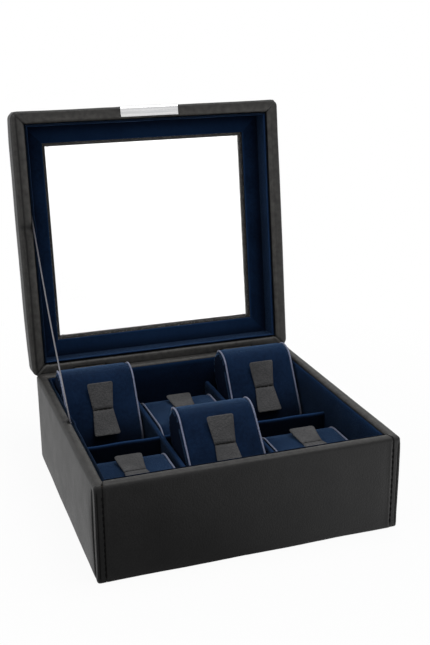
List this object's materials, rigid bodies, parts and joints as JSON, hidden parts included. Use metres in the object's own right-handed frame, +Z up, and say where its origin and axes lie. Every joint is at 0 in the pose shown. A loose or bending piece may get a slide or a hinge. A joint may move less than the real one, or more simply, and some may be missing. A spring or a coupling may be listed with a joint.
{
  "type": "watch box",
  "caption": "Leather-covered watch box with a glass-windowed hinged lid, velvet-lined compartments and lift-out piped cushions.",
  "frame": {"origin": "middle of the underside that the box stands on", "axes": "+X to the box's right seen from the front, +Y to the hinged rear, +Z up; the lid stands open"},
  "size_m": [0.214, 0.2493, 0.2671],
  "materials": {
    "black_leather": "soft satin, fine grain",
    "navy_velvet": "short pile",
    "grey_piping": "satin cord",
    "grey_leather": "matte grain",
    "board": "raw fibreboard",
    "window_glass": "clear",
    "bare_plate": "fine brushed",
    "hinge_metal": "satin",
    "stay_ribbon": "woven satin",
    "underside_fabric": "matte felt"
  },
  "bodies": {
    "base": {"underside_sheet": "underside_fabric", "floor_board": "board", "front_board": "board", "right_board": "board", "rear_board": "board", "left_board": "board", "front_cover": "black_leather", "wrap_cover": "black_leather", "front_lining": "navy_velvet", "right_lining": "navy_velvet", "rear_lining": "navy_velvet", "left_lining": "navy_velvet", "floor_lining": "navy_velvet", "row_divider": "navy_velvet", "left_divider": "navy_velvet", "right_divider": "navy_velvet", "left_hinge_base_leaf": "hinge_metal", "right_hinge_base_leaf": "hinge_metal", "left_hinge_pin": "hinge_metal", "right_hinge_pin": "hinge_metal", "lid_ribbon": "stay_ribbon"},
    "lid": {"lid_front_rail": "board", "lid_front_cover": "black_leather", "lid_front_lining": "navy_velvet", "lid_right_rail": "board", "lid_right_cover": "black_leather", "lid_right_lining": "navy_velvet", "lid_rear_rail": "board", "lid_rear_cover": "black_leather", "lid_rear_lining": "navy_velvet", "lid_left_rail": "board", "lid_left_cover": "black_leather", "lid_left_lining": "navy_velvet", "lid_top_frame": "board", "lid_glass": "window_glass", "lid_frame_lining": "navy_velvet", "lid_plate": "bare_plate", "left_hinge_lid_leaf": "hinge_metal", "right_hinge_lid_leaf": "hinge_metal"},
    "cushion_front_left": {"front_left_pad": "navy_velvet", "front_left_piping": "grey_piping", "front_left_tab": "grey_leather"},
    "cushion_front_middle": {"front_middle_pad": "navy_velvet", "front_middle_piping": "grey_piping", "front_middle_tab": "grey_leather"},
    "cushion_front_right": {"front_right_pad": "navy_velvet", "front_right_piping": "grey_piping", "front_right_tab": "grey_leather"},
    "cushion_rear_left": {"rear_left_pad": "navy_velvet", "rear_left_piping": "grey_piping", "rear_left_tab": "grey_leather"},
    "cushion_rear_middle": {"rear_middle_pad": "navy_velvet", "rear_middle_piping": "grey_piping", "rear_middle_tab": "grey_leather"},
    "cushion_rear_right": {"rear_right_pad": "navy_velvet", "rear_right_piping": "grey_piping", "rear_right_tab": "grey_leather"}
  },
  "joints": [
    {"name": "lid_hinge", "type": "hinge", "parent": "base", "child": "lid", "pos_m": [0, 0.099, 0.0682], "axis": [-1, 0, 0], "range_deg": [-97.6, 0], "deforming": ["lid_ribbon"]},
    {"name": "front_left_lift", "type": "slide", "parent": "base", "child": "cushion_front_left", "axis": [0, 0, 1], "range_m": [0, 0.08]},
    {"name": "front_middle_lift", "type": "slide", "parent": "base", "child": "cushion_front_middle", "axis": [0, 0, 1], "range_m": [0, 0.08]},
    {"name": "front_right_lift", "type": "slide", "parent": "base", "child": "cushion_front_right", "axis": [0, 0, 1], "range_m": [0, 0.08]},
    {"name": "rear_left_lift", "type": "slide", "parent": "base", "child": "cushion_rear_left", "axis": [0, 0, 1], "range_m": [0, 0.08]},
    {"name": "rear_middle_lift", "type": "slide", "parent": "base", "child": "cushion_rear_middle", "axis": [0, 0, 1], "range_m": [0, 0.08]},
    {"name": "rear_right_lift", "type": "slide", "parent": "base", "child": "cushion_rear_right", "axis": [0, 0, 1], "range_m": [0, 0.08]}
  ]
}
